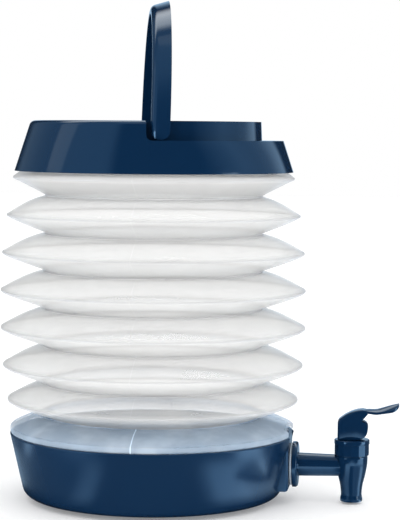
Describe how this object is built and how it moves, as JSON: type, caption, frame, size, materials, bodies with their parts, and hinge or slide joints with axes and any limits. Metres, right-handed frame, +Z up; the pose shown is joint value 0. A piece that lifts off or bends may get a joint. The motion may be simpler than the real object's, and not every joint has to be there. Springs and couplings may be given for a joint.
{
  "type": "collapsible water carrier",
  "caption": "Folding water carrier: ribbed bellows reservoir between a dish base with a press tap and a screw lid with a swinging bail handle.",
  "frame": {"origin": "centre of the flat underside of the foot", "axes": "+Z up, +X towards the tap's spout, -Y towards the front"},
  "size_m": [0.2758, 0.2092, 0.3429],
  "materials": {
    "navy_plastic": "gloss",
    "milky_plastic": "translucent satin",
    "silicone": "matte",
    "steel": "plain"
  },
  "bodies": {
    "base": {"base_shell": "navy_plastic", "reservoir_pan": "milky_plastic", "bellows": "milky_plastic", "outer_washer": "silicone", "inner_washer": "silicone", "shank_nut": "navy_plastic", "tap_body": "navy_plastic", "tap_bonnet": "navy_plastic", "seat_cup": "silicone"},
    "neck": {"reservoir_neck": "milky_plastic"},
    "gasket": {"lid_gasket": "silicone"},
    "lid": {"lid_cover": "navy_plastic", "lid_liner": "navy_plastic"},
    "bail": {"handle": "navy_plastic"},
    "stem": {"valve_stem": "navy_plastic", "lever_pin": "steel"},
    "lever": {"tap_lever": "navy_plastic"}
  },
  "joints": [
    {"name": "collapse", "type": "slide", "parent": "base", "child": "neck", "axis": [0, 0, 1], "range_m": [-0.118, 0], "deforming": ["bellows"]},
    {"name": "lid_lift", "type": "slide", "parent": "neck", "child": "gasket", "axis": [0, 0, 1], "range_m": [0, 0.06]},
    {"name": "lid_turn", "type": "hinge", "parent": "gasket", "child": "lid", "pos_m": [0, 0, 0.2417], "axis": [0, 0, 1], "range_deg": [0, 270]},
    {"name": "handle_swing", "type": "hinge", "parent": "lid", "child": "bail", "pos_m": [0, 0, 0.25455], "axis": [-0.1908, 0.9816, 0], "range_deg": [-6, 88]},
    {"name": "stem_lift", "type": "slide", "parent": "base", "child": "stem", "axis": [0, 0, 1], "range_m": [0, 0.00214], "deforming": ["seat_cup"]},
    {"name": "lever_press", "type": "hinge", "parent": "stem", "child": "lever", "pos_m": [0.1384, 0, 0.0517], "axis": [0, 1, 0], "range_deg": [0, 35], "stiffness_Nm_per_rad": 0.15, "springref_deg": -5.73}
  ],
  "couplings": [
    {"joint": "stem_lift", "follows": "lever_press", "m_per_rad": 0.0035}
  ]
}
